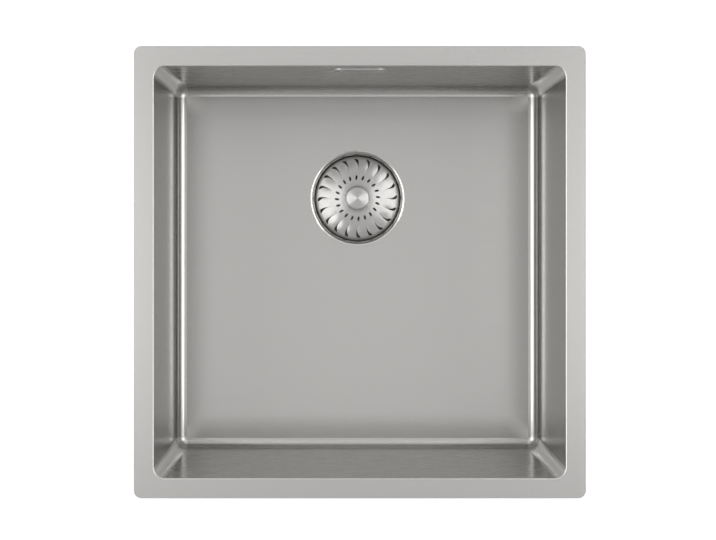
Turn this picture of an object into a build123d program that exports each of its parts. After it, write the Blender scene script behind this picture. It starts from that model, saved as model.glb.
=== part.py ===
"""Square steel kitchen sink with a louvred strainer, an overflow and worktop clips.

Sizes are in millimetres. The origin is the centre of the rim on the worktop's top face.
X points right, Y points to the back wall and Z points up.
"""

import os
from math import cos, pi, radians, sin, sqrt, tan

from build123d import *

# Bowl and rim
BOWL_SIZE = 400.0
RIM_WIDE = 20.0
RIM_CORNER_R = 8.0
RIM_EDGE_R = 0.4
CORNER_R = 11.0
FLOOR_R = 10.0
DEPTH = 200.0
SHEET = 1.0
LIP_R = 1.5
GASKET_THICK = 1.5
GASKET_WIDE = 5.5
GASKET_INSET = 2.2

# Drain collar, pressed from the floor
DRAIN_Y = 77.0
COLLAR_BORE_R = 48.0
COLLAR_EDGE_R = 5.0
COLLAR_DEPTH = 16.0
LEDGE_WIDE = 10.0
LEDGE_BEND_R = 2.0

# Strainer
DOME_GAP = 0.7
DOME_FLAT_R = 18.0
DOME_DROP = 6.6
DOME_THICK = 1.0
DOME_TURN = 12.0
EDGE_RING = 3.6
SKIRT_HIGH = 6.5
EDGE_ROLL_R = 4.4
BLADE_COUNT = 20
BLADE_THICK = 0.6
BLADE_IN_R = 27.0
BLADE_TUCK = 0.8
BLADE_TWIST = 0.9
BLADE_LEAN_IN = 8.0
BLADE_LEAN_OUT = 25.0
SLIT_IN = 0.35
SLIT_OUT = 2.6
INNER_SLOT_INSET = 4.0
INNER_SLOT_LONG = 4.8
INNER_SLOT_WIDE = 2.2
CARRIER_THICK = 2.4
CARRIER_RING = 3.0
CARRIER_ARM = 3.0
CARRIER_ARM_RISE = 1.2
CARRIER_HUB_WALL = 3.5

# Stopper
KNOB_R = 13.5
KNOB_HEIGHT = 9.0
KNOB_WAIST_R = 9.5
KNOB_CROWN = 0.7
STEM_R = 4.0
STEM_STEP = 1.0
STEM_RING_HIGH = 2.0
STOPPER_GAP = 5.0
STOPPER_THICK = 4.0
PLATE_STEP = 7.0
PLATE_THICK = 1.5
NUT_WALL = 3.0
NUT_THICK = 4.0
STEM_TIP = 1.0

# Waste body under the drain
FLANGE_STEP = 4.0
FLANGE_THICK = 5.0
WASTE_GASKET_THICK = 2.0
WASTE_WALL = 3.0
CUP_STEP = 2.0
SEAT_WIDE = 6.0
SEAT_DROP = 14.0
CHAMBER_DEEP = 32.0
OUTLET_R = 23.9
OUTLET_WALL = 3.9
OUTLET_LONG = 26.0
BRANCH_DROP = 17.0
BRANCH_LONG = 31.0
CLAMP_THICK = 1.5
CLAMP_SCREW_R = 2.0
CLAMP_SCREW_HEAD = 1.5
CLAMP_SCREW_LONG = 16.0
CLAMP_SCREW_COUNT = 4
CLAMP_BOSS_WALL = 2.0

# Overflow in the back wall and its pipe
OVERFLOW_DROP = 30.0
SLOT_WIDE = 45.0
SLOT_HIGH = 12.0
TRIM_RIM = 6.0
TRIM_PROUD = 1.5
TRIM_WALL = 2.2
SEAL_WIDE = 5.0
HOUSING_MARGIN = 8.0
HOUSING_DEEP = 9.0
HOUSING_WALL = 1.5
HOUSING_FOOT_DROP = 10.0
HOUSING_FOOT_HIGH = 14.0
SPIGOT_LONG = 18.0
PIPE_R = 8.0
PIPE_WALL = 1.5
PIPE_BEND_R = 25.0
PIPE_INSERT = 12.0
PIPE_GAP = 0.5
THREAD_WALL = 2.2
PIPE_NUT_WALL = 2.2
PIPE_NUT_LONG = 18.0
PIPE_NUT_FLOOR = 3.0
PIPE_NUT_RIBS = 14
PIPE_NUT_RIB_R = 0.8
PIPE_SEAL_LONG = 3.0

# Worktop clips on the left and right walls
CLIP_Y = 110.0
BRACKET_WIDE = 24.0
BRACKET_HIGH = 20.0
BRACKET_LEG = 1.2
BRACKET_TAB = 2.0
BRACKET_DROP = 30.0
CLIP_SCREW_R = 2.5
CLIP_HEAD_STEP = 1.7
CLIP_HEAD_HIGH = 3.5
CLIP_SCREW_LONG = 42.0
CLIP_SCREW_GRIP = 3.5
CLAW_WIDE = 10.4
CLAW_REACH = 26.0
CLAW_HIGH = 18.0
CLAW_THICK = 2.0
CLAW_GAP = 0.5
CLAW_TOOTH = 1.8
WASHER_THICK = 1.0

# Sound pads
PAD_THICK = 2.0
PAD_EDGE = 24.0
PAD_CORNER_R = 8.0
WALL_PAD_WIDE = 180.0
WALL_PAD_HIGH = 90.0

# Working gaps
MOVE_GAP = 0.3
RUN_GAP = 0.05
HOLE_GAP = 0.1
SNUG_GAP = 0.3

rim_under = GASKET_THICK
rim_top = rim_under + SHEET
floor_top = rim_top - DEPTH
floor_under = floor_top - SHEET
rim_size = BOWL_SIZE + 2 * RIM_WIDE
wall_in = BOWL_SIZE / 2
wall_out = wall_in + SHEET
floor_fillet = min(FLOOR_R, 0.92 * CORNER_R)
drain = Pos(0, DRAIN_Y, floor_top)

os.makedirs("parts", exist_ok=True)


def save(name, shape):
    """Write one named piece."""
    export_step(shape, f"parts/{name}.step")


def slab(size, corner, z_low, z_high):
    """Square block with rounded upright corners, centred on the bowl."""
    return Pos(0, 0, z_low) * extrude(RectangleRounded(size, size, corner), z_high - z_low)


def turned(points, rounds=()):
    """Turn an outline of radius and height around the upright axis, with some corners rounded."""
    outline = make_face(Polyline(*points, close=True))
    for point, size in rounds:
        corner = outline.vertices().sort_by_distance((point[0], point[1], 0))[0]
        outline = fillet(corner, size)
    return revolve(Plane.XZ * outline, Axis.Z)


def tube(outer, inner, z_low, z_high):
    """Upright ring between two heights."""
    return turned([(inner, z_low), (outer, z_low), (outer, z_high), (inner, z_high)])


def rod(radius, z_low, z_high):
    """Upright cylinder between two heights."""
    return Pos(0, 0, (z_low + z_high) / 2) * Cylinder(radius, z_high - z_low)


def block(x_low, x_high, y_low, y_high, z_low, z_high):
    """Box between six faces."""
    centre = Pos((x_low + x_high) / 2, (y_low + y_high) / 2, (z_low + z_high) / 2)
    return centre * Box(x_high - x_low, y_high - y_low, z_high - z_low)


def oblong(wide, high, y_low, y_high, z_mid):
    """Plug with half-round ends, lying along Y in the back wall."""
    plane = Plane((0, y_low, z_mid), x_dir=(1, 0, 0), z_dir=(0, 1, 0))
    return extrude(plane * SlotOverall(wide, high), y_high - y_low)


def ring_of(shape, count, start=0.0):
    """Equal copies around the upright axis."""
    return [Rot(0, 0, start + 360.0 * step / count) * shape for step in range(count)]


# The drain collar rounds over from the floor, drops as a bore and turns in to a ledge.
ledge_top = -COLLAR_DEPTH
ledge_r = COLLAR_BORE_R - LEDGE_WIDE
collar_out = COLLAR_BORE_R + COLLAR_EDGE_R + 2 * SHEET
collar = turned(
    [
        (collar_out, 0),
        (COLLAR_BORE_R, 0),
        (COLLAR_BORE_R, ledge_top),
        (ledge_r, ledge_top),
        (ledge_r, ledge_top - SHEET),
        (COLLAR_BORE_R + SHEET, ledge_top - SHEET),
        (COLLAR_BORE_R + SHEET, -SHEET),
        (collar_out, -SHEET),
    ],
    [
        ((COLLAR_BORE_R, 0), COLLAR_EDGE_R),
        ((COLLAR_BORE_R + SHEET, -SHEET), COLLAR_EDGE_R - SHEET),
        ((COLLAR_BORE_R, ledge_top), LEDGE_BEND_R),
        ((COLLAR_BORE_R + SHEET, ledge_top - SHEET), LEDGE_BEND_R + SHEET),
    ],
)
clamp_circle = (ledge_r + COLLAR_BORE_R - LEDGE_BEND_R) / 2
clamp_hole = Pos(clamp_circle, 0, 0) * rod(CLAMP_SCREW_R + HOLE_GAP, ledge_top - SHEET, ledge_top)
for hole in ring_of(clamp_hole, CLAMP_SCREW_COUNT, 45):
    collar -= hole

# The bowl is an even sheet: a filleted block less a smaller one, with the flat rim around its top.
overflow_z = rim_top - OVERFLOW_DROP
hole_wide = SLOT_WIDE + 2 * TRIM_WALL + 2 * SNUG_GAP
hole_high = SLOT_HIGH + 2 * TRIM_WALL + 2 * SNUG_GAP
outside = slab(BOWL_SIZE + 2 * SHEET, CORNER_R + SHEET, floor_under, rim_top)
outside = fillet(outside.faces().sort_by(Axis.Z)[0].edges(), floor_fillet + SHEET)
inside = slab(BOWL_SIZE, CORNER_R, floor_top, rim_top)
inside = fillet(inside.faces().sort_by(Axis.Z)[0].edges(), floor_fillet)
shell = slab(rim_size, RIM_CORNER_R, rim_under, rim_top) + outside - inside
top_face = shell.faces().sort_by(Axis.Z)[-1]
shell = fillet(top_face.inner_wires()[0].edges(), LIP_R)
top_face = shell.faces().sort_by(Axis.Z)[-1]
shell = fillet(top_face.outer_wire().edges(), RIM_EDGE_R)
shell -= drain * rod(collar_out - SHEET, -2 * SHEET, SHEET)
shell += drain * collar
shell -= oblong(hole_wide, hole_high, wall_in - SHEET, wall_out + SHEET, overflow_z)
save("bowl_shell", shell)

# Gasket under the rim, near its outer edge, where the worktop carries it.
gasket_out = rim_size - 2 * GASKET_INSET
gasket_in = gasket_out - 2 * GASKET_WIDE
gasket = slab(gasket_out, RIM_CORNER_R, 0, GASKET_THICK) - slab(gasket_in, RIM_CORNER_R, 0, GASKET_THICK)
save("rim_gasket", gasket)

# Damping sheets: two beside the drain, one in front of it and one on each plain wall.
floor_pad = wall_in - floor_fillet - PAD_EDGE
drain_side = COLLAR_BORE_R + COLLAR_EDGE_R + PAD_EDGE
pad_low = floor_under - PAD_THICK
tab_low = rim_top - BRACKET_DROP
wall_pad_mid = (tab_low + floor_under) / 2
wall_pad_low = wall_pad_mid - WALL_PAD_HIGH / 2
wall_pad_high = wall_pad_mid + WALL_PAD_HIGH / 2
wall_pad = wall_out + PAD_THICK
wall_pad_half = WALL_PAD_WIDE / 2
side_pad = block(wall_out, wall_pad, -wall_pad_half, wall_pad_half, wall_pad_low, wall_pad_high)
side_pad = fillet(side_pad.edges().filter_by(Axis.X), PAD_CORNER_R)
front_end = DRAIN_Y - drain_side
floor_pads = [
    block(drain_side, floor_pad, -floor_pad, floor_pad, pad_low, floor_under),
    block(-floor_pad, -drain_side, -floor_pad, floor_pad, pad_low, floor_under),
    block(SHEET - drain_side, drain_side - SHEET, -floor_pad, front_end, pad_low, floor_under),
]
pads = [fillet(pad.edges().filter_by(Axis.Z), PAD_CORNER_R) for pad in floor_pads]
pads += [Rot(0, 0, turn) * side_pad for turn in (0, 180, -90)]
save("sound_pads", Compound(children=pads))

# Waste: clamp ring and screws inside the collar, gasket and moulded body below its ledge.
clamp_top = ledge_top + CLAMP_THICK
clamp_out = COLLAR_BORE_R - LEDGE_BEND_R - HOLE_GAP
clamp = tube(clamp_out, ledge_r, ledge_top, clamp_top)
clamp_head_r = CLAMP_SCREW_R + CLAMP_SCREW_HEAD
screw_head = turned(
    [
        (0, -CLAMP_SCREW_LONG),
        (CLAMP_SCREW_R, -CLAMP_SCREW_LONG),
        (CLAMP_SCREW_R, -CLAMP_SCREW_HEAD),
        (clamp_head_r, 0),
        (0, 0),
    ]
)
drive = Box(2 * CLAMP_SCREW_R, 0.45 * CLAMP_SCREW_R, CLAMP_SCREW_HEAD)
drive = Pos(0, 0, -CLAMP_SCREW_HEAD / 2) * (drive + Rot(0, 0, 90) * drive)
clamp_screw = Pos(clamp_circle, 0, clamp_top) * (screw_head - drive)
countersink = Pos(clamp_circle, 0, clamp_top) * turned(
    [
        (0, -2 * CLAMP_THICK),
        (CLAMP_SCREW_R + HOLE_GAP, -2 * CLAMP_THICK),
        (CLAMP_SCREW_R + HOLE_GAP, -CLAMP_SCREW_HEAD),
        (clamp_head_r + HOLE_GAP, 0),
        (0, 0),
    ]
)
for cutter in ring_of(countersink, CLAMP_SCREW_COUNT, 45):
    clamp -= cutter
save("waste_clamp_ring", drain * clamp)
clamp_screws = [drain * screw for screw in ring_of(clamp_screw, CLAMP_SCREW_COUNT, 45)]
save("waste_screws", Compound(children=clamp_screws))

gasket_top = ledge_top - SHEET
flange_top = gasket_top - WASTE_GASKET_THICK
flange_low = flange_top - FLANGE_THICK
flange_r = COLLAR_BORE_R + FLANGE_STEP
seat_z = ledge_top - SEAT_DROP
shelf_low = seat_z - WASTE_WALL
chamber_low = seat_z - CHAMBER_DEEP
outlet_low = chamber_low - OUTLET_LONG
cup_r = ledge_r - CUP_STEP
stopper_r = ledge_r - STOPPER_GAP
chamber_r = stopper_r - SEAT_WIDE
outlet_bore_r = OUTLET_R - OUTLET_WALL
screw_path = Pos(clamp_circle, 0, 0) * rod(CLAMP_SCREW_R + HOLE_GAP, flange_top, gasket_top)
waste_gasket = tube(flange_r, ledge_r, flange_top, gasket_top)
for path in ring_of(screw_path, CLAMP_SCREW_COUNT, 45):
    waste_gasket -= path
save("waste_gasket", drain * waste_gasket)

waste_body = turned(
    [
        (cup_r, flange_top),
        (flange_r, flange_top),
        (flange_r, flange_low),
        (cup_r + WASTE_WALL, flange_low),
        (cup_r + WASTE_WALL, shelf_low),
        (chamber_r + WASTE_WALL, shelf_low - WASTE_WALL),
        (chamber_r + WASTE_WALL, chamber_low),
        (OUTLET_R, chamber_low - WASTE_WALL),
        (OUTLET_R, outlet_low),
        (outlet_bore_r, outlet_low),
        (outlet_bore_r, chamber_low),
        (chamber_r, chamber_low + 2 * WASTE_WALL),
        (chamber_r, seat_z),
        (cup_r, seat_z),
    ],
    [((flange_r, flange_low), FLANGE_THICK / 5), ((cup_r + WASTE_WALL, flange_low), FLANGE_THICK / 4)],
)
boss_low = clamp_top - CLAMP_SCREW_LONG - WASTE_WALL
boss = Pos(clamp_circle, 0, 0) * rod(CLAMP_SCREW_R + CLAMP_BOSS_WALL, boss_low, flange_low)
for post in ring_of(boss, CLAMP_SCREW_COUNT, 45):
    waste_body += post
blind_path = Pos(clamp_circle, 0, 0) * rod(CLAMP_SCREW_R + HOLE_GAP, boss_low + WASTE_WALL / 2, flange_top)
for path in ring_of(blind_path, CLAMP_SCREW_COUNT, 45):
    waste_body -= path
branch_height = seat_z - BRANCH_DROP
branch_end = chamber_r + BRANCH_LONG
branch_bore = PIPE_R + SNUG_GAP
thread_r = PIPE_R + THREAD_WALL
along_y = Pos(0, 0, branch_height) * Rot(-90, 0, 0)
waste_body += along_y * rod(thread_r, chamber_r + WASTE_WALL / 2, branch_end)
waste_body -= along_y * rod(branch_bore, chamber_r - WASTE_WALL, branch_end)
save("waste_body", drain * waste_body)

# Strainer dome: a flat centre and an outer ring, joined by swirled louvre blades.
carrier_low = clamp_top + MOVE_GAP
carrier_top = carrier_low + CARRIER_THICK
skirt_low = carrier_low + MOVE_GAP
dome_r = COLLAR_BORE_R - DOME_GAP
skirt_in = dome_r - DOME_THICK
blade_out_r = dome_r - EDGE_RING
inner_slot_r = BLADE_IN_R - INNER_SLOT_INSET
dome_top = skirt_low + SKIRT_HIGH + DOME_DROP
dome_run = dome_r - DOME_FLAT_R
dome_arc_r = (dome_run**2 + DOME_DROP**2) / (2 * DOME_DROP)
stem_hole = STEM_R + 2 * MOVE_GAP


def dome_z(radius):
    """Height of the dome's skin at a radius, from the floor's top face."""
    out = max(0.0, radius - DOME_FLAT_R)
    return dome_top - dome_arc_r + sqrt(dome_arc_r**2 - out**2)


def dome_arc(r_from, r_to, drop=0.0):
    """Arc along the dome's skin in the radius and height plane."""
    stops = (r_from, (r_from + r_to) / 2, r_to)
    return ThreePointArc(*[(r, dome_z(r) - drop) for r in stops])


def swirl(radius):
    """Angle of the line between two blades: it leans one way at the inner slots and back at the rim."""
    span = blade_out_r - inner_slot_r
    share = (radius - inner_slot_r) / span
    lean_in = tan(radians(BLADE_LEAN_IN)) * span / inner_slot_r
    lean_out = tan(radians(BLADE_LEAN_OUT)) * span / blade_out_r
    return -share * (1 - share) * (lean_in + (lean_out - lean_in) * share)


def blade_row(share):
    """Points across one blade, at a share of the way from its inner to its outer end."""
    radius = BLADE_IN_R - BLADE_TUCK + (blade_out_r - BLADE_IN_R + 2 * BLADE_TUCK) * share
    slit = SLIT_IN + (SLIT_OUT - SLIT_IN) * share**2
    half = pi / BLADE_COUNT - slit / 2 / radius
    twist = BLADE_TWIST * sin(pi * share) ** 2
    height = dome_z(radius) - (DOME_THICK - BLADE_THICK) / 2
    row = []
    for across in (-1, -0.5, 0, 0.5, 1):
        angle = swirl(radius) + across * half
        row.append(Vector(radius * cos(angle), radius * sin(angle), height + across * twist))
    return row


centre_low = dome_top - DOME_THICK
centre_edge = dome_z(BLADE_IN_R)
centre_outline = make_face(
    [
        Line((stem_hole, dome_top), (DOME_FLAT_R, dome_top)),
        dome_arc(DOME_FLAT_R, BLADE_IN_R),
        Line((BLADE_IN_R, centre_edge), (BLADE_IN_R, centre_edge - DOME_THICK)),
        dome_arc(BLADE_IN_R, DOME_FLAT_R, DOME_THICK),
        Line((DOME_FLAT_R, centre_low), (stem_hole, centre_low)),
        Line((stem_hole, centre_low), (stem_hole, dome_top)),
    ]
)
edge_outline = make_face(
    [
        dome_arc(blade_out_r, dome_r),
        Line((dome_r, dome_z(dome_r)), (dome_r, skirt_low)),
        Line((dome_r, skirt_low), (skirt_in, skirt_low)),
        Line((skirt_in, skirt_low), (skirt_in, dome_z(skirt_in) - DOME_THICK)),
        dome_arc(skirt_in, blade_out_r, DOME_THICK),
        Line((blade_out_r, dome_z(blade_out_r) - DOME_THICK), (blade_out_r, dome_z(blade_out_r))),
    ]
)
edge_roll = min(EDGE_ROLL_R, 1.3 * EDGE_RING)
rolled = edge_outline.vertices().sort_by_distance((dome_r, dome_z(dome_r), 0))[0]
edge_outline = fillet(rolled, edge_roll)
rolled = edge_outline.vertices().sort_by_distance((skirt_in, dome_z(skirt_in) - DOME_THICK, 0))[0]
edge_outline = fillet(rolled, min(edge_roll, EDGE_RING) - DOME_THICK)
blade_skin = Face.make_surface_from_array_of_points([blade_row(step / 8) for step in range(9)], max_deg=3)
blade = Solid.thicken(blade_skin, -BLADE_THICK)
dome = revolve(Plane.XZ * centre_outline, Axis.Z)
inner_slot = Rot(0, 0, -BLADE_LEAN_IN) * SlotOverall(INNER_SLOT_LONG, INNER_SLOT_WIDE)
inner_slot = Pos(inner_slot_r, 0, centre_low - DOME_THICK) * extrude(inner_slot, 4 * DOME_THICK)
dome = dome.cut(*ring_of(inner_slot, BLADE_COUNT, 180.0 / BLADE_COUNT))
dome = dome.fuse(revolve(Plane.XZ * edge_outline, Axis.Z), *ring_of(blade, BLADE_COUNT))
save("strainer_dome", drain * Rot(0, 0, DOME_TURN) * dome)

# Carrier: a moulded ring with three arms and a hub, which the dome sits on.
hub_r = STEM_R + CARRIER_HUB_WALL
arm_top = carrier_top + CARRIER_ARM_RISE
arm = block(STEM_R, skirt_in - CARRIER_RING, -CARRIER_ARM / 2, CARRIER_ARM / 2, carrier_low, arm_top)
carrier = tube(skirt_in - MOVE_GAP, skirt_in - CARRIER_RING, carrier_low, carrier_top)
for spoke in ring_of(arm, 3, 90):
    carrier += spoke
carrier += rod(hub_r, carrier_low, centre_low)
carrier -= rod(STEM_R + RUN_GAP, carrier_low, centre_low)
save("strainer_carrier", drain * carrier)

# Stopper: knob, stem with its friction ring, then plate, rubber disc and nut under the strainer.
knob_low = dome_top + MOVE_GAP
knob_top = knob_low + KNOB_HEIGHT
knob_side = knob_low + 0.45 * KNOB_HEIGHT
knob_neck = knob_side - KNOB_HEIGHT / 6
knob_edge = knob_top - KNOB_CROWN
knob = turned(
    [
        (0, knob_low),
        (KNOB_WAIST_R, knob_low),
        (KNOB_WAIST_R, knob_neck),
        (KNOB_R, knob_side),
        (KNOB_R, knob_edge),
        (0, knob_top),
    ],
    [
        ((KNOB_R, knob_edge), 0.35 * KNOB_HEIGHT),
        ((KNOB_WAIST_R, knob_neck), KNOB_HEIGHT / 9),
        ((KNOB_R, knob_side), KNOB_HEIGHT / 15),
    ],
)
stem_top = knob_low + KNOB_HEIGHT / 2
knob -= rod(STEM_R, knob_low, stem_top)
save("knob", drain * knob)

disc_low = seat_z + MOVE_GAP
disc_top = disc_low + STOPPER_THICK
plate_top = disc_top + PLATE_THICK
tail_r = STEM_R - STEM_STEP
ring_low = carrier_low + MOVE_GAP
ring_top = ring_low + STEM_RING_HIGH
stem = rod(STEM_R, plate_top, stem_top) + rod(tail_r, disc_low - NUT_THICK - STEM_TIP, plate_top)
stem -= tube(2 * STEM_R, tail_r, ring_low, ring_top)
save("stopper_stem", drain * stem)
save("stem_ring", drain * tube(STEM_R + RUN_GAP / 2, tail_r, ring_low, ring_top))
save("stopper_plate", drain * tube(stopper_r - PLATE_STEP, tail_r, disc_top, plate_top))
disc = turned(
    [
        (tail_r, disc_low),
        (stopper_r, disc_low),
        (stopper_r, disc_top),
        (tail_r, disc_top),
    ],
    [((stopper_r, disc_low), STOPPER_THICK / 4), ((stopper_r, disc_top), STOPPER_THICK / 4)],
)
save("stopper_disc", drain * disc)
nut = Pos(0, 0, disc_low - NUT_THICK) * extrude(RegularPolygon(tail_r + NUT_WALL, 6), NUT_THICK)
nut -= rod(tail_r, disc_low - NUT_THICK, disc_low)
save("stopper_nut", drain * nut)

# Overflow: trim pushed through the back wall into a flat housing, with a seal between wall and housing.
seal_back = wall_out + GASKET_THICK
housing_back = seal_back + HOUSING_DEEP
trim_back = seal_back + 2 * HOUSING_WALL
trim_wide = SLOT_WIDE + 2 * TRIM_RIM
trim_high = SLOT_HIGH + 2 * TRIM_RIM
trim = oblong(trim_wide, trim_high, wall_in - TRIM_PROUD, wall_in, overflow_z)
trim = fillet(trim.faces().sort_by(Axis.Y)[0].edges(), 0.6 * TRIM_PROUD)
trim += oblong(hole_wide - 2 * SNUG_GAP, hole_high - 2 * SNUG_GAP, wall_in, trim_back, overflow_z)
trim -= oblong(SLOT_WIDE, SLOT_HIGH, wall_in - TRIM_PROUD, trim_back, overflow_z)
save("overflow_trim", trim)
seal = oblong(hole_wide + 2 * SEAL_WIDE, hole_high + 2 * SEAL_WIDE, wall_out, seal_back, overflow_z)
seal -= oblong(hole_wide, hole_high, wall_out, seal_back, overflow_z)
save("overflow_seal", seal)

pipe_nut_r = thread_r + PIPE_NUT_WALL
housing_half = hole_wide / 2 + HOUSING_MARGIN
housing_top = overflow_z + hole_high / 2 + SEAL_WIDE + HOUSING_WALL
foot_top = overflow_z - hole_high / 2 - HOUSING_FOOT_DROP
foot_low = foot_top - HOUSING_FOOT_HIGH
foot_half = pipe_nut_r + HOUSING_WALL
pipe_y = wall_out + pipe_nut_r + PIPE_GAP
foot_back = pipe_y + thread_r + HOUSING_WALL
spigot_low = foot_low - SPIGOT_LONG
skin = HOUSING_WALL
round_out = 3 * skin


def hollow(half, back, low, high, inset):
    """Block behind the back wall, rounded on its back edges, drawn in by an inset for its inside."""
    size = round_out - inset
    box = block(inset - half, half - inset, seal_back + inset, back - inset, low + inset, high - inset)
    uprights = box.edges().filter_by(Axis.Z).sort_by(Axis.Y)[-2:]
    return fillet(uprights, size)


housing = hollow(housing_half, housing_back, foot_top, housing_top, 0)
housing = fillet(housing.faces().sort_by(Axis.Z)[-1].edges(), skin / 2)
housing += hollow(foot_half, foot_back, foot_low, foot_top + skin, 0)
spigot = Pos(0, pipe_y, 0)
housing += spigot * rod(thread_r, spigot_low, foot_low)
housing -= hollow(housing_half, housing_back, foot_top, housing_top, skin)
housing -= hollow(foot_half, foot_back, foot_low, foot_top + skin, skin)
passage = foot_half - skin
housing -= block(-passage, passage, seal_back + skin, housing_back - skin, foot_top, foot_top + skin)
housing -= spigot * rod(branch_bore, spigot_low, foot_low + skin)
housing -= oblong(hole_wide, hole_high, seal_back, seal_back + skin, overflow_z)
save("overflow_housing", housing)

# Moulded pipe: down the back wall, one bend, then forward to the branch of the waste body.
branch_z = floor_top + branch_height
branch_y = DRAIN_Y + branch_end
path = Polyline(
    (0, pipe_y, spigot_low + PIPE_INSERT),
    (0, pipe_y, branch_z),
    (0, branch_y - PIPE_INSERT, branch_z),
)
path = fillet(path.vertices().sort_by_distance((0, pipe_y, branch_z))[0], PIPE_BEND_R)
pipe_end = Plane((0, pipe_y, spigot_low + PIPE_INSERT), z_dir=(0, 0, -1))
pipe = sweep(pipe_end * (Circle(PIPE_R) - Circle(PIPE_R - PIPE_WALL)), path)
save("overflow_pipe", pipe)

# Each pipe end has a rubber ring at the mouth of the thread and a nut over both.
nut_floor = -PIPE_SEAL_LONG - PIPE_NUT_FLOOR
nut_top = nut_floor + PIPE_NUT_LONG
pipe_nut = rod(pipe_nut_r - PIPE_NUT_RIB_R, nut_floor, nut_top)
pipe_nut = fillet(pipe_nut.faces().sort_by(Axis.Z)[0].edges(), PIPE_NUT_RIB_R)
nut_rib = Pos(pipe_nut_r - PIPE_NUT_RIB_R, 0, 0) * rod(PIPE_NUT_RIB_R, nut_floor + PIPE_NUT_RIB_R, nut_top)
pipe_nut = pipe_nut.fuse(*ring_of(nut_rib, PIPE_NUT_RIBS))
pipe_nut -= rod(thread_r + HOLE_GAP, -PIPE_SEAL_LONG, PIPE_NUT_LONG)
pipe_nut -= rod(branch_bore, nut_floor, 0)
pipe_seal = tube(thread_r, PIPE_R, -PIPE_SEAL_LONG, 0)
upper_end = Pos(0, pipe_y, spigot_low)
lower_end = Pos(0, branch_y, branch_z) * Rot(90, 0, 0)
save("pipe_nut_upper", upper_end * pipe_nut)
save("pipe_seal_upper", upper_end * pipe_seal)
save("pipe_nut_lower", lower_end * pipe_nut)
save("pipe_seal_lower", lower_end * pipe_seal)

# Clips: a welded lug with a threaded tab. The screw hangs in it and carries a washer and a claw.
claw_half = CLAW_WIDE / 2
axis_x = wall_out + claw_half + CLAW_GAP
tab_top = tab_low + BRACKET_TAB
tab_out = axis_x + claw_half
head_z = tab_top + CLIP_SCREW_GRIP - CLIP_SCREW_LONG
half_wide = BRACKET_WIDE / 2
lug = block(wall_out, wall_out + BRACKET_LEG, -half_wide, half_wide, tab_low, tab_low + BRACKET_HIGH)
lug = fillet(lug.edges().filter_by(Axis.X).sort_by(Axis.Z)[-2:], 2 * BRACKET_TAB)
tab = block(wall_out, tab_out, -half_wide, half_wide, tab_low, tab_top)
lug += fillet(tab.edges().filter_by(Axis.Z).sort_by(Axis.X)[-2:], 2 * BRACKET_TAB)
lug_bend = lug.edges().filter_by(Axis.Y).sort_by_distance((wall_out + BRACKET_LEG, 0, tab_top))[0]
lug = fillet(lug_bend, BRACKET_LEG)
lug -= Pos(axis_x, 0, 0) * rod(CLIP_SCREW_R + RUN_GAP, tab_low, tab_top)

washer_low = head_z + MOVE_GAP
washer_top = washer_low + WASHER_THICK
claw_low = washer_top + MOVE_GAP
claw_top = claw_low + CLAW_THICK
hole_r = CLIP_SCREW_R + RUN_GAP
clip_screw = rod(CLIP_SCREW_R, head_z, head_z + CLIP_SCREW_LONG)
clip_head = rod(CLIP_SCREW_R + CLIP_HEAD_STEP, head_z - CLIP_HEAD_HIGH, head_z)
clip_head = fillet(clip_head.faces().sort_by(Axis.Z)[0].edges(), CLIP_HEAD_HIGH / 4)
slot_low = head_z - CLIP_HEAD_HIGH
slot_top = slot_low + CLIP_HEAD_HIGH / 2
slot_half = CLIP_SCREW_R / 4
cross = block(-CLIP_SCREW_R, CLIP_SCREW_R, -slot_half, slot_half, slot_low, slot_top)
cross += Rot(0, 0, 90) * cross
clip_screw += clip_head - cross
washer = tube(CLAW_WIDE / 2, hole_r, washer_low, washer_top)
claw = rod(claw_half, claw_low, claw_top)
claw += block(-claw_half, claw_half, -CLAW_REACH, 0, claw_low, claw_top)
claw += block(-claw_half, claw_half, -CLAW_REACH, CLAW_THICK - CLAW_REACH, claw_low, claw_low + CLAW_HIGH)
bend = claw.edges().filter_by(Axis.X).sort_by_distance((0, CLAW_THICK - CLAW_REACH, claw_top))[0]
claw = fillet(bend, CLAW_THICK)
bend = claw.edges().filter_by(Axis.X).sort_by_distance((0, -CLAW_REACH, claw_low))[0]
claw = fillet(bend, 2 * CLAW_THICK)
for step in (-1, 0, 1):
    tooth = Rot(0, 45, 0) * Box(CLAW_TOOTH, 3 * CLAW_THICK, CLAW_TOOTH)
    claw -= Pos(step * CLAW_WIDE / 3, -CLAW_REACH, claw_low + CLAW_HIGH) * tooth
claw -= rod(hole_r, claw_low, claw_top)

clip_places = [
    Pos(axis_x, CLIP_Y, 0),
    Pos(axis_x, -CLIP_Y, 0),
    Rot(0, 0, 180) * Pos(axis_x, CLIP_Y, 0),
    Rot(0, 0, 180) * Pos(axis_x, -CLIP_Y, 0),
]
lugs = [place * Pos(-axis_x, 0, 0) * lug for place in clip_places]
save("clip_brackets", Compound(children=lugs))
for number, place in enumerate(clip_places, 1):
    save(f"clip_screw_{number}", place * clip_screw)
    save(f"clip_washer_{number}", place * washer)
    save(f"clip_claw_{number}", place * claw)
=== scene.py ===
"""Looks of a square steel kitchen sink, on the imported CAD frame. Metres, X right, Y back, Z up."""

from math import pi, radians

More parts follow.
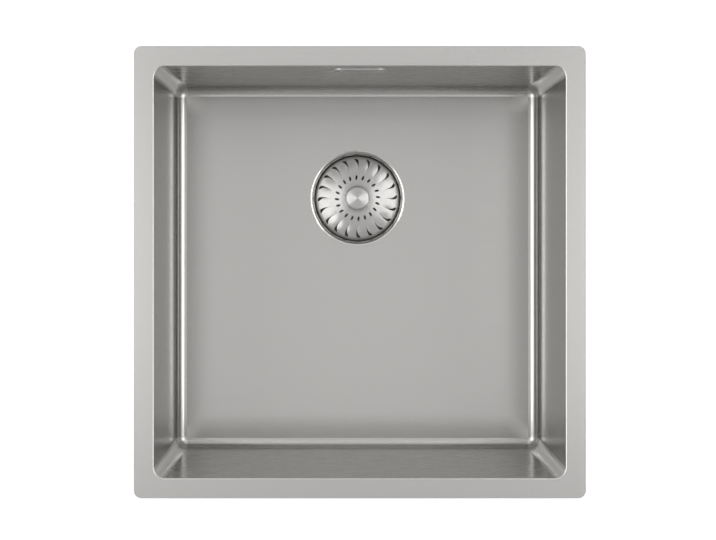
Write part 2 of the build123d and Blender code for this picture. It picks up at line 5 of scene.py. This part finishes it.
import bpy
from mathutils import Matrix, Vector


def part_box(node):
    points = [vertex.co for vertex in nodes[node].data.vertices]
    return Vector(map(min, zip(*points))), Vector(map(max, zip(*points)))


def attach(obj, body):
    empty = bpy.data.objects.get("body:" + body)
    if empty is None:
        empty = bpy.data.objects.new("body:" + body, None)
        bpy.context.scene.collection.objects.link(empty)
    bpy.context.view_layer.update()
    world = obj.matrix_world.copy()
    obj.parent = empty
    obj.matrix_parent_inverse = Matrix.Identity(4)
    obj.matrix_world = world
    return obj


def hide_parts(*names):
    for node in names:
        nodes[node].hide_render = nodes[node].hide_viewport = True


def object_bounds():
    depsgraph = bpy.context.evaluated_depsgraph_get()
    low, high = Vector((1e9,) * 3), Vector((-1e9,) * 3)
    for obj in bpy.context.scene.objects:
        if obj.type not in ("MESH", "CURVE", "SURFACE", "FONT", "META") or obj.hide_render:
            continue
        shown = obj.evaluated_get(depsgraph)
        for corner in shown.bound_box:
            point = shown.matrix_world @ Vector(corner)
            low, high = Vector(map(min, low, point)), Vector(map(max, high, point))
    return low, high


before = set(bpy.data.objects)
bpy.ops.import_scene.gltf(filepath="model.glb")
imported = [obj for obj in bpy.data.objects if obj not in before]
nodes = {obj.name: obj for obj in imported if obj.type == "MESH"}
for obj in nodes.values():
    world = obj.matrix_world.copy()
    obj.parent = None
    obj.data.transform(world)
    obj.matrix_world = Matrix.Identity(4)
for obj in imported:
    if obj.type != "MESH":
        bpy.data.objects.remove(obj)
cad_box = [list(corner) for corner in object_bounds()]
scene = bpy.context.scene


# Bowl with its flat rim: stainless sheet about 1 mm thick, pressed and welded, then brushed along the
# rim, down the side walls, and from left to right on the floor and the other walls. The corners have a
# whiter reflection colour than the walls: painted highlight for the bright bands of light in them.
# The bowl hangs by its rim in the worktop.
class Wire:
    """A socket in a node tree. Arithmetic on it adds Math nodes to the tree."""

    def __init__(self, tree, socket=None):
        self.tree = tree
        self.socket = socket

    def node(self, kind, settings, sockets, out=0):
        """Add a node: its settings first, then values or links for its sockets."""
        made = self.tree.nodes.new(kind)
        for name, value in settings.items():
            setattr(made, name, value)
        for name, value in sockets.items():
            if isinstance(value, Wire):
                self.tree.links.new(value.socket, made.inputs[name])
            else:
                made.inputs[name].default_value = value
        return Wire(self.tree, made.outputs[out] if made.outputs else None)

    def math(self, operation, *others):
        """Add a Math node, with this wire as its first value."""
        return self.node("ShaderNodeMath", {"operation": operation}, dict(enumerate((self, *others))))

    def __add__(self, other):
        return self.math("ADD", other)

    def __sub__(self, other):
        return self.math("SUBTRACT", other)

    def __rsub__(self, other):
        return (self * -1) + other

    def __mul__(self, other):
        return self.math("MULTIPLY", other)

    def __truediv__(self, other):
        return self.math("DIVIDE", other)

    def __gt__(self, other):
        return self.math("GREATER_THAN", other)

    __radd__ = __add__
    __rmul__ = __mul__


def blank(name):
    """New material with an empty tree, and its tree as a wire to start from."""
    material = bpy.data.materials.new(name)
    material.use_nodes = True
    material.node_tree.nodes.clear()
    return material, Wire(material.node_tree)


def finish(start, shader):
    """Join a shader to the material's output."""
    start.node("ShaderNodeOutputMaterial", {}, {"Surface": shader})


def split(start, vector):
    """The three parts of a vector."""
    parts = start.node("ShaderNodeSeparateXYZ", {}, {"Vector": vector}).socket.node.outputs
    return [Wire(start.tree, part) for part in parts]


def place_mm(start):
    """Object coordinates in millimetres."""
    where = start.node("ShaderNodeTexCoord", {}, {}, "Object")
    return start.node("ShaderNodeVectorMath", {"operation": "SCALE"}, {"Vector": where, "Scale": 1000.0})


def pick(mask, one, other):
    """One value where the mask is 1, the other where it is 0."""
    return mask * one + (1 - mask) * other


# Brush marks in a millimetre: along them, across them and through the sheet.
HAIR_RATE = (0.02, 3.0, 0.3)
STREAK_RATE = (0.01, 1.1, 0.05)


def grain(start, along, across, depth):
    """Brush marks: fine hairlines and broader soft streaks, both long in one direction."""
    marks = []
    for rates, detail in ((HAIR_RATE, 3.0), (STREAK_RATE, 2.0)):
        parts = [way * rate for way, rate in zip((along, across, depth), rates)]
        where = start.node("ShaderNodeCombineXYZ", {}, dict(zip("XYZ", parts)))
        marks.append(start.node("ShaderNodeTexNoise", {}, {"Vector": where, "Scale": 1.0, "Detail": detail}))
    return marks


def metal(start, colour, tint, rough, normal, brush=0.0, turn=0.0, pure=0.85):
    """Bare steel that reflects less than a mirror at a low angle, and blurs more across its brush marks."""
    sockets = {
        "Base Color": colour,
        "Metallic": pure,
        "Roughness": rough,
        "Specular Tint": (tint, tint, tint, 1),
        "Normal": normal,
        "Anisotropic": brush,
        "Anisotropic Rotation": turn,
    }
    return start.node("ShaderNodeBsdfPrincipled", {}, sockets)


# Where the Mix node keeps its two colours and their mixture, among its sockets.
MIX_DARK, MIX_LIGHT, MIX_OUT = 6, 7, 2


def mixed(start, factor, dark, light):
    """A colour between two, by a factor."""
    sockets = {0: factor, MIX_DARK: (*dark, 1), MIX_LIGHT: (*light, 1)}
    return start.node("ShaderNodeMix", {"data_type": "RGBA"}, sockets, MIX_OUT)


def bumped(start, height, strength, distance):
    """Normal that follows a height."""
    sockets = {"Strength": strength, "Distance": distance, "Height": height}
    return start.node("ShaderNodeBump", {}, sockets)


# Places in millimetres, and how far up a face has to look to count as flat, or as quite level.
COLLAR_R = 53.0
# Where the corners' painted highlight begins, in from the middle.
WELD_START = 189.0
RIM_LOW = -5.0
FLAT_FACE = 0.7
LEVEL_FACE = 0.985
knob_low, knob_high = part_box("knob")
DRAIN_X = 1000 * (knob_low[0] + knob_high[0]) / 2
DRAIN_Y = 1000 * (knob_low[1] + knob_high[1]) / 2


def brushed_steel():
    """Sheet with a brushed grain, which runs its own way on the rim, the floor and each wall."""
    material, start = blank("brushed_sheet")
    x, y, z = split(start, place_mm(start))
    facing = start.node("ShaderNodeNewGeometry", {}, {}, "Normal")
    face_x, face_y, face_z = [part.math("ABSOLUTE") for part in split(start, facing)]
    flat = face_z > FLAT_FACE
    rim = z > RIM_LOW
    side = x.math("ABSOLUTE") > y.math("ABSOLUTE")
    sideways = face_x > face_y
    turned = rim * side
    along = pick(flat, pick(turned, y, x), pick(sideways, z, x))
    across = pick(flat, pick(turned, x, y), pick(sideways, y, z))
    hair, streak = grain(start, along, across, z)
    colour = mixed(start, streak * 0.7 + hair * 0.3, (0.60, 0.592, 0.576), (0.65, 0.641, 0.624))
    bump = bumped(start, hair, strength=0.03, distance=0.0002)
    marks = 0.03 * streak + 0.03 * hair
    from_drain = y - DRAIN_Y
    off_drain = x * x + from_drain * from_drain > COLLAR_R * COLLAR_R
    pure = 1 - 0.15 * off_drain
    level = metal(start, colour, tint=0.5, rough=0.15 + 0.08 * rim + marks, normal=bump, pure=pure)
    sides = metal(start, colour, tint=0.6, rough=0.15 + marks, normal=bump, brush=0.85)
    ends = metal(start, colour, tint=0.66, rough=0.24 + marks, normal=bump, brush=0.85, turn=0.25)
    # Corners: a white reflection colour, painted highlight for the bright bands of light in them.
    corners = metal(start, colour, tint=1.0, rough=0.26 + marks, normal=bump)
    walls = start.node("ShaderNodeMixShader", {}, {0: sideways, 1: ends, 2: sides})
    # Mask for the corners that carry the painted highlight.
    welded = x.math("ABSOLUTE").math("MINIMUM", y.math("ABSOLUTE")) > WELD_START
    upright = start.node("ShaderNodeMixShader", {}, {0: welded, 1: walls, 2: corners})
    curved = (1 - (face_z > LEVEL_FACE)) * off_drain
    finish(start, start.node("ShaderNodeMixShader", {}, {0: curved, 1: level, 2: upright}))
    return material


def dress(material, *names):
    """Give CAD nodes a material."""
    for name in names:
        nodes[name].data.materials.clear()
        nodes[name].data.materials.append(material)


dress(brushed_steel(), "bowl_shell")


# Rubber: the gasket under the rim, and the rings that seal the waste, the overflow and its pipe.
# Moulded black rubber with a dull, faintly dusty skin, pressed between the pieces it seals.
def speckle(start, scale, detail):
    """Even noise over a piece, at a scale in marks per millimetre."""
    return start.node("ShaderNodeTexNoise", {}, {"Vector": place_mm(start), "Scale": scale, "Detail": detail})


def black_rubber():
    """Dull rubber with fine pores and a little dust."""
    material, start = blank("black_rubber")
    dust = speckle(start, scale=0.12, detail=4.0)
    pores = speckle(start, scale=2.5, detail=2.0)
    sockets = {
        "Base Color": mixed(start, dust, (0.012, 0.012, 0.012), (0.035, 0.035, 0.034)),
        "Roughness": 0.55 + 0.25 * dust,
        "Normal": bumped(start, pores, strength=0.25, distance=0.0002),
    }
    finish(start, start.node("ShaderNodeBsdfPrincipled", {}, sockets))
    return material


rubber = black_rubber()
dress(rubber, "rim_gasket", "waste_gasket", "overflow_seal", "pipe_seal_upper", "pipe_seal_lower")


# Sound pads: dark bitumen sheet, die cut with rounded corners and stuck to the outside of the bowl.
# Its face is embossed with a fine square pattern.
EMBOSS_RATE = 2.1


def damping_sheet():
    """Bitumen sheet, with waves that cross each other on the floor's pads and on the walls' pads."""
    material, start = blank("damping_sheet")
    x, y, z = split(start, place_mm(start))
    wave_x, wave_y, wave_z, wave_xy = [(part * EMBOSS_RATE).math("SINE") for part in (x, y, z, x + y)]
    emboss = wave_x * wave_y + wave_z * wave_xy + speckle(start, scale=1.5, detail=2.0)
    tone = speckle(start, scale=0.03, detail=5.0)
    sockets = {
        "Base Color": mixed(start, tone, (0.022, 0.022, 0.024), (0.06, 0.06, 0.062)),
        "Roughness": 0.6 + 0.2 * tone,
        "Normal": bumped(start, emboss, strength=0.35, distance=0.0003),
    }
    finish(start, start.node("ShaderNodeBsdfPrincipled", {}, sockets))
    return material


dress(damping_sheet(), "sound_pads")


# Clip lugs on the side walls, and the clamp ring with its four screws in the drain: stainless, cut and
# bent from strip. The lugs are spot welded. The ring is dull and painted dark, as painted shade under
# the strainer's dome, and is screwed down onto the drain's ledge.
def plain_steel(name, dark, light, rough):
    """Steel between two tones, with faint grain and stains."""
    material, start = blank(name)
    x, y, z = split(start, place_mm(start))
    hair, streak = grain(start, z, x + y, x)
    stain = speckle(start, scale=0.08, detail=4.0)
    colour = mixed(start, streak * 0.5 + stain * 0.5, dark, light)
    uneven = rough + 0.12 * stain + 0.05 * hair
    bump = bumped(start, hair, strength=0.05, distance=0.0001)
    finish(start, metal(start, colour, tint=0.8, rough=uneven, normal=bump))
    return material


plain = plain_steel("plain_steel", (0.40, 0.40, 0.39), (0.56, 0.56, 0.55), 0.24)
dress(plain, "clip_brackets", "waste_screws")
# Dark steel for the ring and the stopper's plate: painted shade under the strainer's dome.
pickled = plain_steel("steel_painted_dark_for_shade", (0.20, 0.20, 0.195), (0.28, 0.28, 0.275), 0.42)
dress(pickled, "waste_clamp_ring")


# Waste body: dark grey polypropylene, moulded in one piece and clamped to the drain's ledge.
# The outlet below it carries a 1 1/2 inch pipe thread for the trap.
def moulded(start, dark, light, relief):
    """Satin plastic between two tones, with a fine skin over its relief."""
    skin = speckle(start, scale=1.2, detail=3.0)
    sockets = {
        "Base Color": mixed(start, speckle(start, scale=0.03, detail=3.0), dark, light),
        "Roughness": 0.38 + 0.14 * skin,
        "Normal": bumped(start, relief + skin * 0.08, strength=0.5, distance=0.0006),
    }
    return start.node("ShaderNodeBsdfPrincipled", {}, sockets)


def plain_plastic(name, dark, light):
    """Moulded plastic between two tones, with no relief but faint flow marks."""
    material, start = blank(name)
    flow = speckle(start, scale=0.4, detail=2.0) * 0.1
    finish(start, moulded(start, dark, light, flow))
    return material


# A millimetre in metres, how near points are joined in millimetres, and the socket for each kind of value.
MM = 0.001
JOIN_GAP = 0.01
SOCKET_KINDS = {float: "NodeSocketFloat", tuple: "NodeSocketVector", bpy.types.Material: "NodeSocketMaterial"}


def node_group(name, inputs):
    """A geometry node group: its first wire, its named inputs as wires, and the value for each input."""
    tree = bpy.data.node_groups.new(name, "GeometryNodeTree")
    tree.interface.new_socket("Geometry", in_out="OUTPUT", socket_type="NodeSocketGeometry")
    settings = {}
    for label, value in inputs.items():
        kind = SOCKET_KINDS[type(value)]
        socket = tree.interface.new_socket(label, in_out="INPUT", socket_type=kind)
        settings[socket.identifier] = value
    start = Wire(tree)
    ports = start.node("NodeGroupInput", {}, {}).socket.node.outputs
    return start, {port.name: Wire(tree, port) for port in ports}, settings


def set_down(start, shape, size):
    """End of a node group: joined up, from millimetres to metres, in its place and with its finish."""
    shape = start.node("GeometryNodeRealizeInstances", {}, {"Geometry": shape})
    shape = start.node("GeometryNodeMergeByDistance", {}, {"Geometry": shape, "Distance": JOIN_GAP})
    shape = start.node("GeometryNodeTransform", {}, {"Geometry": shape, "Scale": (MM, MM, MM)})
    sockets = {"Vector": size["Place"], "Scale": MM}
    metres = start.node("ShaderNodeVectorMath", {"operation": "SCALE"}, sockets)
    shape = start.node("GeometryNodeTransform", {}, {"Geometry": shape, "Translation": metres})
    shape = start.node("GeometryNodeSetShadeSmooth", {}, {"Geometry": shape})
    shape = start.node("GeometryNodeSetMaterial", {}, {"Geometry": shape, "Material": size["Material"]})
    start.node("NodeGroupOutput", {}, {"Geometry": shape})


def plain_mesh(name, source):
    """The evaluated shape of an object, as a new object with a mesh of its own."""
    shape = source.evaluated_get(bpy.context.evaluated_depsgraph_get())
    piece = bpy.data.objects.new(name, bpy.data.meshes.new_from_object(shape))
    bpy.data.objects.remove(source)
    scene.collection.objects.link(piece)
    return piece


def grown(name, tree, settings):
    """The shape that a node group gives, as a new object."""
    source = bpy.data.objects.new(name + "_source", bpy.data.meshes.new(name + "_source"))
    scene.collection.objects.link(source)
    modifier = source.modifiers.new("nodes", "NODES")
    modifier.node_group = tree
    for identifier, value in settings.items():
        modifier[identifier] = value
    return plain_mesh(name, source)


def screw_thread(name, sizes, turn_points, ridge_points):
    """A thread: a round ridge that is swept along a helix."""
    start, size, settings = node_group(name, sizes)
    helix = {
        "Resolution": turn_points,
        "Rotations": size["Thread Length"] / size["Pitch"],
        "Start Radius": size["Thread Radius"],
        "End Radius": size["Thread Radius"],
        "Height": size["Thread Length"],
    }
    path = start.node("GeometryNodeCurveSpiral", {}, helix)
    circle = {"Resolution": ridge_points, "Radius": size["Ridge Radius"]}
    ridge = start.node("GeometryNodeCurvePrimitiveCircle", {}, circle)
    sweep = {"Curve": path, "Profile Curve": ridge, "Fill Caps": True}
    set_down(start, start.node("GeometryNodeCurveToMesh", {}, sweep), size)
    return grown(name, start.tree, settings)


grey = plain_plastic("grey_plastic", (0.028, 0.029, 0.031), (0.044, 0.045, 0.047))
dress(grey, "waste_body")

THREAD_LEAD = 1.5
outlet_low = 1000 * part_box("waste_body")[0][2]
outlet_sizes = {
    "Thread Radius": 23.8,
    "Thread Length": 18.4,
    "Pitch": 2.3,
    "Ridge Radius": 0.7,
    "Place": (DRAIN_X, DRAIN_Y, outlet_low + THREAD_LEAD),
    "Material": grey,
}
thread = screw_thread("outlet_thread", outlet_sizes, turn_points=64, ridge_points=8)
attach(thread, "sink")


# Overflow housing and pipe: white polypropylene mouldings behind the bowl. The housing is clamped to
# the back wall by the trim, and the pipe leads down from it to the waste body.
white = plain_plastic("white_plastic", (0.62, 0.62, 0.60), (0.76, 0.76, 0.745))
dress(white, "overflow_housing", "overflow_pipe")


# Pipe nuts and the strainer's carrier: polypropylene mouldings. The grey nuts are ribbed and screw on
# by hand, and the carrier is a ring with three arms under the strainer's dome, near-black as painted shade.
dress(grey, "pipe_nut_upper", "pipe_nut_lower")
# Near-black: painted shade seen through the dome's slits.
black = plain_plastic("plastic_painted_black_for_shade", (0.010, 0.010, 0.011), (0.016, 0.016, 0.017))
dress(black, "strainer_carrier")


# Overflow trim: a stainless pressing with a rounded lip, polished brighter than the bowl.
# It is pushed through the slot in the back wall and clips into the housing behind it.
trim = plain_steel("trim_steel", (0.57, 0.565, 0.555), (0.66, 0.655, 0.645), 0.27)
dress(trim, "overflow_trim")


# Strainer dome: a thin stainless pressing, with twenty swirled petals that are lanced apart into slots
# and set up as louvres at the outside. Its skirt drops over the carrier's ring.
RING_RATE = 4.0


def spun_steel():
    """Steel with rings around the drain's middle, from turning or polishing on a spindle."""
    material, start = blank("spun_steel")
    x, y, z = split(start, place_mm(start))
    across = y - DRAIN_Y
    radius = (x * x + across * across).math("SQRT")
    rings = start.node("ShaderNodeCombineXYZ", {}, {"X": radius * RING_RATE, "Y": z * RING_RATE})
    groove = start.node("ShaderNodeTexNoise", {}, {"Vector": rings, "Scale": 1.0, "Detail": 3.0})
    colour = mixed(start, groove, (0.60, 0.595, 0.58), (0.70, 0.694, 0.68))
    rough = 0.33 + 0.08 * groove
    bump = bumped(start, groove, strength=0.05, distance=0.0001)
    finish(start, metal(start, colour, tint=0.8, rough=rough, normal=bump, brush=0.9, turn=0.25))
    return material


spun = spun_steel()
PETALS = 20
PETAL_TURN = radians(12.0)
PROFILE_POINTS = 121
PETAL_POINTS = 15
SLOT_SQUARENESS = 4.0
COMMA_SWELL = 3.5
SWIRL_START = -0.2
SHEET_THICK = 0.0007
SHARP_EDGE = radians(40)

low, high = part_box("strainer_dome")
dome_radius = 1000 * max(high[0] - low[0], high[1] - low[1]) / 2
dome_height = 1000 * (high[2] - low[2])
dome_place = (DRAIN_X, DRAIN_Y, high[2] * 1000)
dome_sizes = {
    "Dome Radius": dome_radius,
    "Dome Height": dome_height,
    "Skirt": 6.5,
    "Edge Roll": 8.0,
    "Hole Radius": 4.6,
    "Flat Radius": 18.0,
    "Inner Slot Radius": 23.0,
    "Inner Slot Length": 4.8,
    "Inner Slot Width": 2.2,
    "Outer Slot Start": 27.0,
    "Outer Slot Width": 6.0,
    "Outer Slot Tip": 2.8,
    "Edge Ring": 2.8,
    "Inner Lean": radians(8.0),
    "Outer Lean": radians(40.0),
    "Louvre": 0.5,
    "Pillow": 0.35,
    "Place": dome_place,
    "Material": spun,
}
start, size, settings = node_group("petal_dome", dome_sizes)
rim_r = size["Dome Radius"]
slot_r = size["Inner Slot Radius"]
edge_r = rim_r - size["Edge Ring"]

# The profile is flat, then an arc, then a tighter arc that rolls over into the upright skirt.
flat_r = size["Flat Radius"]
roll = size["Edge Roll"]
drop = size["Dome Height"] - size["Skirt"]
width = rim_r - flat_r
arc_r = (width * width + drop * drop) / (drop * 2.0)
roll_sine = (width - roll) / (arc_r - roll)
roll_cosine = (1 - roll_sine * roll_sine).math("SQRT")
roll_start = roll_sine.math("ARCSINE")
roll_r = flat_r + arc_r * roll_sine
roll_end = roll_r + roll * (pi / 2 - roll_start)
skirt = size["Dome Height"] - arc_r + (arc_r - roll) * roll_cosine

# One petal starts as a unit grid: along it runs the profile, across it the angle.
sockets = {"Size X": 1.0, "Size Y": 1.0, "Vertices X": PROFILE_POINTS, "Vertices Y": PETAL_POINTS}
grid = start.node("GeometryNodeMeshGrid", {}, sockets, "Mesh")
along, across, _ = split(start, start.node("GeometryNodeInputPosition", {}, {}))
side = across * 2.0
run = size["Hole Radius"] + (along + 0.5) * (roll_end + skirt - size["Hole Radius"])
inner_r = run.math("MINIMUM", roll_r)
slope = (roll_start + (run - inner_r) / roll).math("MINIMUM", pi / 2)
radius = inner_r + roll * (slope.math("SINE") - roll_sine)
out = (inner_r - flat_r).math("MAXIMUM", 0.0)
arc = (arc_r * arc_r - out * out).math("SQRT") - arc_r
profile = arc + roll * (slope.math("COSINE") - roll_cosine) - (run - roll_end).math("MAXIMUM", 0.0)


def clamped(value):
    """A value held between 0 and 1."""
    return value.math("MINIMUM", 1.0).math("MAXIMUM", 0.0)


# The slots: a short one with round ends near the middle, and a comma that widens to the outside.
from_slot = (radius - slot_r) / (size["Inner Slot Length"] * 0.5)
inner_slot = size["Inner Slot Width"] * clamped(1 - from_slot.math("POWER", SLOT_SQUARENESS)).math("SQRT")
reach = edge_r - size["Outer Slot Start"]
share = clamped((radius - size["Outer Slot Start"]) / reach)
tip = clamped((radius - edge_r) / size["Outer Slot Tip"] + 1.0)
outer_slot = size["Outer Slot Width"] * share.math("POWER", COMMA_SWELL) * (1 - tip * tip).math("SQRT")

# The line between two petals leans one way at the inner slots and back again at the rim.
span = edge_r - slot_r
swirl = ((radius - slot_r) / span).math("MAXIMUM", SWIRL_START)
lean_in = size["Inner Lean"].math("TANGENT") * span / slot_r
lean_out = size["Outer Lean"].math("TANGENT") * span / edge_r
line = swirl * (swirl - 1) * (lean_in + (lean_out - lean_in) * swirl)
half = pi / PETALS - (inner_slot + outer_slot) * 0.5 / radius
angle = line + side * half

# Each petal is pillowed a little and tipped into a louvre.
wave = (share * pi).math("SINE")
pillow = size["Pillow"] * (1 - side * side) * wave
louvre = size["Louvre"] * side * wave * wave
height = profile + pillow + louvre
sockets = {"X": radius * angle.math("COSINE"), "Y": radius * angle.math("SINE"), "Z": height}
spot = start.node("ShaderNodeCombineXYZ", {}, sockets)
petal = start.node("GeometryNodeSetPosition", {}, {"Geometry": grid, "Position": spot})

# Twenty petals around the middle, joined where they touch and set down in the drain.
points = start.node("GeometryNodePoints", {}, {"Count": PETALS})
count = start.node("GeometryNodeInputIndex", {}, {})
turn = start.node("ShaderNodeCombineXYZ", {}, {"Z": count * (2 * pi / PETALS) + PETAL_TURN})
ring = start.node("GeometryNodeInstanceOnPoints", {}, {"Points": points, "Instance": petal, "Rotation": turn})
set_down(start, ring, size)

sheet = grown("petal_sheet", start.tree, settings)
thick = sheet.modifiers.new("thickness", "SOLIDIFY")
thick.thickness = SHEET_THICK
thick.offset = -1.0
dome_piece = plain_mesh("petal_dome", sheet)
dome_piece.data.set_sharp_from_angle(angle=SHARP_EDGE)
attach(dome_piece, "strainer")
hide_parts("strainer_dome")


# Stopper: a turned steel knob with a spun top, on a steel stem that runs through the strainer.
# Under it a plate, a rubber disc and a nut close the waste when the knob is down.
dress(spun, "knob")
dress(plain, "stopper_stem", "stopper_nut")
# The plate's dark steel is painted shade under the dome.
dress(pickled, "stopper_plate")
dress(rubber, "stopper_disc", "stem_ring")


# Worktop clips: zinc plated screw, washer and bent claw, four of each. Turning the screw's 5 mm thread
# in its tapped lug draws the claw up against the underside of the worktop.
CLIP_THREAD_START = 8.0
CLIP_THREAD_SPARE = 0.6
zinc = plain_steel("zinc_plate", (0.46, 0.48, 0.50), (0.62, 0.64, 0.66), 0.28)
for number in range(1, 5):
    dress(zinc, f"clip_screw_{number}", f"clip_washer_{number}", f"clip_claw_{number}")
    low, high = [[1000 * part for part in corner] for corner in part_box(f"clip_screw_{number}")]
    clip_sizes = {
        "Thread Radius": 2.47,
        "Thread Length": high[2] - low[2] - CLIP_THREAD_START - CLIP_THREAD_SPARE,
        "Pitch": 0.8,
        "Ridge Radius": 0.2,
        "Place": ((low[0] + high[0]) / 2, (low[1] + high[1]) / 2, low[2] + CLIP_THREAD_START),
        "Material": zinc,
    }
    thread = screw_thread(f"clip_thread_{number}", clip_sizes, turn_points=20, ridge_points=6)
    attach(thread, f"screw_{number}")


# Stage: white ground with a low white wall far around it. Both show white to the camera and in the steel,
# and the ground keeps a faint shadow.
STAGE_R = 30
WALL_TALL = 16
GROUND_GLOW = 0.93
GROUND_TONE = (0.3, 0.3, 0.3, 1)
bpy.ops.mesh.primitive_plane_add(size=2 * STAGE_R, location=(0, 0, cad_box[0][2] - MM))
ground = bpy.context.object
ground.name = "ground"
bpy.ops.mesh.primitive_cylinder_add(radius=STAGE_R, depth=WALL_TALL, end_fill_type="NOTHING")
backdrop = bpy.context.object
backdrop.name = "backdrop"
material, start = blank("ground_white")
rays = start.node("ShaderNodeLightPath", {}, {}).socket.node.outputs
camera_ray, glossy_ray, through_ray = [
    Wire(start.tree, rays[f"Is {kind} Ray"]) for kind in ("Camera", "Glossy", "Transmission")
]
seen = camera_ray.math("MAXIMUM", glossy_ray).math("MAXIMUM", through_ray)
glow = start.node("ShaderNodeEmission", {}, {"Color": (1, 1, 1, 1), "Strength": seen * GROUND_GLOW})
matt = start.node("ShaderNodeBsdfDiffuse", {}, {"Color": GROUND_TONE})
finish(start, start.node("ShaderNodeAddShader", {}, {0: glow, 1: matt}))
ground.data.materials.append(material)
backdrop.data.materials.append(material)


# Lights: bright soft boxes at the left and right, and dimmer ones behind and overhead. Four low ones
# light the plastic and rubber outside the bowl, and don't show in the steel.
WORLD_LEVEL = 0.3
world = bpy.data.worlds.new("room")
world.use_nodes = True
world.node_tree.nodes["Background"].inputs["Color"].default_value = (1, 1, 1, 1)
world.node_tree.nodes["Background"].inputs["Strength"].default_value = WORLD_LEVEL
scene.world = world


def soft_box(name, place, aim, wide, tall, glow):
    """Rectangular lamp that faces a point, with its brightness as seen in a mirror."""
    lamp = bpy.data.lights.new(name, "AREA")
    lamp.shape = "RECTANGLE"
    lamp.size = wide
    lamp.size_y = tall
    lamp.energy = glow * pi * wide * tall
    box = bpy.data.objects.new(name, lamp)
    box.location = place
    box.rotation_euler = (Vector(aim) - Vector(place)).to_track_quat("-Z", "Y").to_euler()
    box.visible_camera = False
    scene.collection.objects.link(box)
    return box


# Each box in the room: its place, how wide and tall it is, and its glow.
AIM = (0, 0, -0.1)
SOFT_BOXES = {
    "side_left": ((-1.6, 0, 1.4), 2.0, 1.5, 1.65),
    "side_right": ((1.6, 0, 1.4), 2.0, 1.5, 1.3),
    "high_left": ((-1.3, 0, 1.75), 1.6, 0.6, 1.7),
    "high_right": ((1.3, 0, 1.75), 1.6, 0.6, 1.6),
    "low_back": ((0, 1.75, 1.25), 2.0, 1.1, 0.6),
    "over_middle": ((0, -0.12, 2.2), 1.1, 1.0, 0.39),
    "over_back": ((0, 0.95, 2.05), 0.9, 0.9, 0.64),
    "over_front": ((0, -0.95, 2.05), 0.9, 0.9, 0.12),
    "over_left": ((-0.95, 0, 2.05), 0.9, 0.9, 0.8),
    "over_right": ((0.95, 0, 2.05), 0.9, 0.9, 0.68),
    "corner_left_back": ((-0.95, 0.95, 1.9), 0.9, 0.9, 0.85),
    "corner_right_back": ((0.95, 0.95, 1.9), 0.9, 0.9, 0.8),
    "corner_left_front": ((-0.95, -0.95, 1.9), 0.9, 0.9, 0.35),
    "corner_right_front": ((0.95, -0.95, 1.9), 0.9, 0.9, 0.35),
}
for name, (place, wide, tall, glow) in SOFT_BOXES.items():
    soft_box(name, place, AIM, wide, tall, glow)

FILL_FAR = 1.2
FILL_AIM = (0, 0, -0.12)
for side_x, side_y in ((1, 0), (0, 1), (-1, 0), (0, -1)):
    place = (FILL_FAR * side_x, FILL_FAR * side_y, FILL_AIM[2])
    fill = soft_box("fill", place, FILL_AIM, wide=1.6, tall=0.3, glow=2.6)
    fill.visible_glossy = False


# Camera: straight down from 1.37 m above the rim, a little left of and behind the middle. The shift
# brings the sink back to the middle of the frame.
lens = bpy.data.cameras.new("camera")
lens.lens = 70.9
lens.sensor_width = 36.0
lens.shift_x = 0.0229
lens.shift_y = -0.0502
camera = bpy.data.objects.new("camera", lens)
camera.location = (-0.0177, 0.037, 1.3725)
scene.collection.objects.link(camera)
scene.camera = camera
scene.view_settings.view_transform = "Standard"
